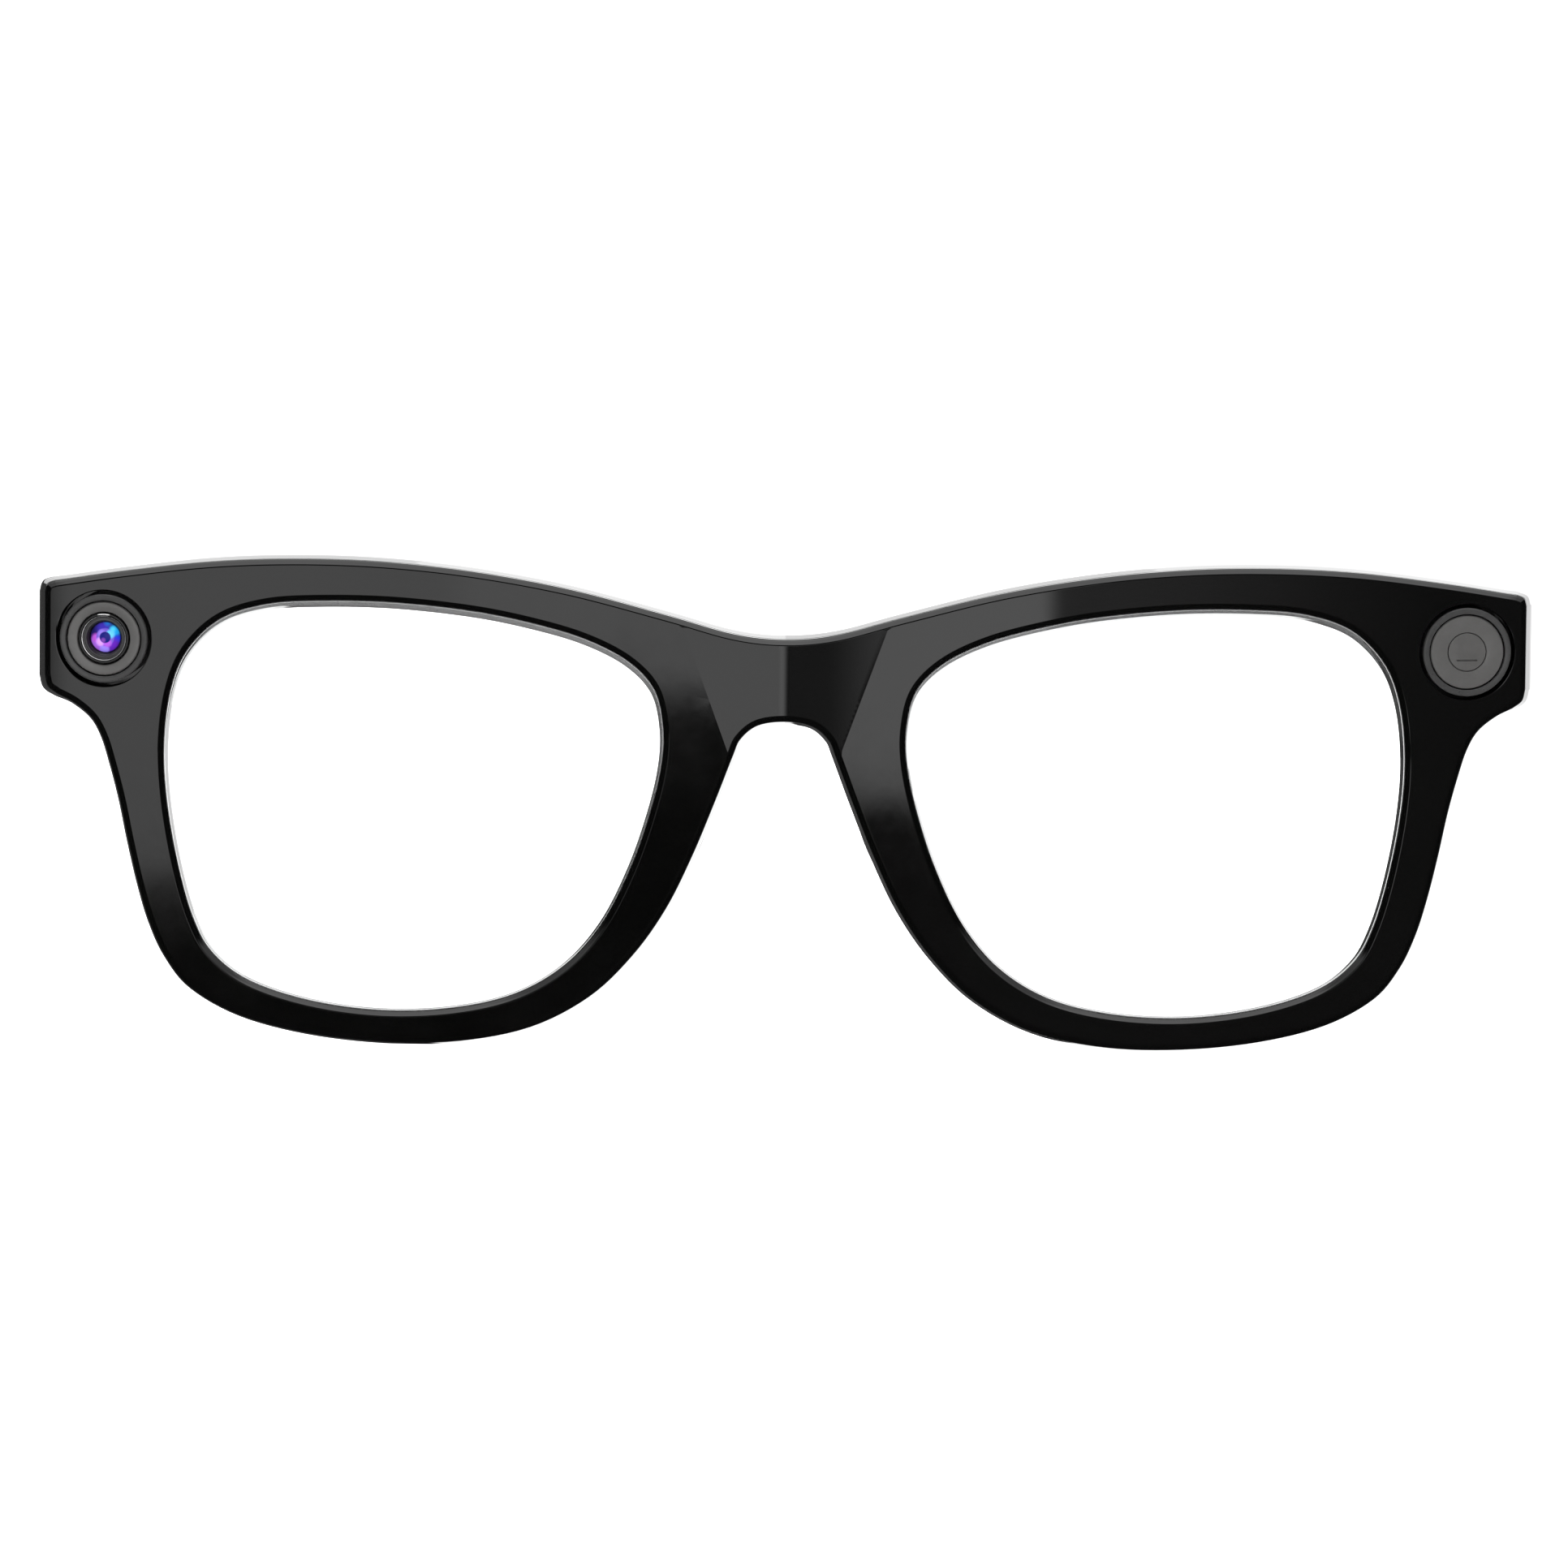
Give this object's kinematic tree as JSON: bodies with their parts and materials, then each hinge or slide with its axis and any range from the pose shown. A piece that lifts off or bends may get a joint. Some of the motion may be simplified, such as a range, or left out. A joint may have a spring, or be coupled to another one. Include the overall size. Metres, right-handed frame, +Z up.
{
  "type": "smart glasses",
  "caption": "Camera glasses with a glossy black square front, clear lenses, a camera and a recording light in the end pieces, and folding temples with ear hooks.",
  "frame": {"origin": "centre of the footprint, on the table under both rims and both temple tips, temples open", "axes": "+X towards the wearer's left, -Y forwards out of the lenses, +Z up"},
  "size_m": [0.145, 0.1516, 0.0479],
  "materials": {
    "frame_black": "polished glossy black",
    "lens_clear": "clear, coated",
    "pad_black": "satin black",
    "bezel_dark": "dark grey",
    "disc_dark": "dark grey gloss",
    "barrel_black": "black",
    "trim_silver": "bright metal",
    "lens_coated": "coated, blue to violet",
    "stop_black": "matt black",
    "module_dark": "dark grey",
    "window_smoked": "smoked",
    "chip_white": "pale",
    "board_green": "solder mask green",
    "flex_amber": "amber film",
    "contact_gold": "gold plated",
    "steel": "brushed",
    "cell_wrap": "foil wrap",
    "mesh_grey": "dark mesh",
    "control_black": "satin black"
  },
  "bodies": {
    "front": {"front_frame": "frame_black", "rear_frame": "frame_black", "lens_right": "lens_clear", "lens_left": "lens_clear", "nose_pad_right": "pad_black", "nose_pad_left": "pad_black", "camera_bezel_ring": "bezel_dark", "camera_cover_disc": "disc_dark", "camera_barrel": "barrel_black", "camera_trim_ring": "trim_silver", "camera_lens": "lens_coated", "camera_stop": "stop_black", "camera_sensor_module": "module_dark", "led_bezel_ring": "bezel_dark", "led_cover_disc": "disc_dark", "led_window": "window_smoked", "led_chip": "chip_white", "led_board": "board_green", "brow_flex_cable": "flex_amber", "bridge_microphone": "steel", "charging_plate": "pad_black", "charging_contacts": "contact_gold", "hinge_leaf_front_right": "steel", "hinge_leaf_front_left": "steel", "hinge_screws": "steel"},
    "temple_right": {"temple_shell_right": "frame_black", "temple_cover_right": "frame_black", "hinge_leaf_temple_right": "steel", "cover_screws_right": "steel", "battery": "cell_wrap", "touch_board": "board_green", "speaker_right": "module_dark", "speaker_mesh_right": "mesh_grey", "capture_switch": "steel"},
    "temple_left": {"temple_shell_left": "frame_black", "temple_cover_left": "frame_black", "hinge_leaf_temple_left": "steel", "cover_screws_left": "steel", "main_board": "board_green", "speaker_left": "module_dark", "speaker_mesh_left": "mesh_grey", "power_switch": "steel"},
    "button": {"capture_button": "control_black"},
    "slider": {"power_slider": "control_black"}
  },
  "joints": [
    {"name": "temple_right_fold", "type": "hinge", "parent": "front", "child": "temple_right", "pos_m": [-0.063, -0.0592, 0.03937], "axis": [0, 0, -1], "range_deg": [0, 91]},
    {"name": "temple_left_fold", "type": "hinge", "parent": "front", "child": "temple_left", "pos_m": [0.063, -0.0592, 0.03937], "axis": [0, 0, 1], "range_deg": [0, 76]},
    {"name": "capture_press", "type": "slide", "parent": "temple_right", "child": "button", "axis": [0, 0, -1], "range_m": [0, 0.0004], "stiffness_N_per_m": 500, "springref_m": -0.0008},
    {"name": "power_slide", "type": "slide", "parent": "temple_left", "child": "slider", "axis": [0, 1, 0], "range_m": [0, 0.002]}
  ]
}
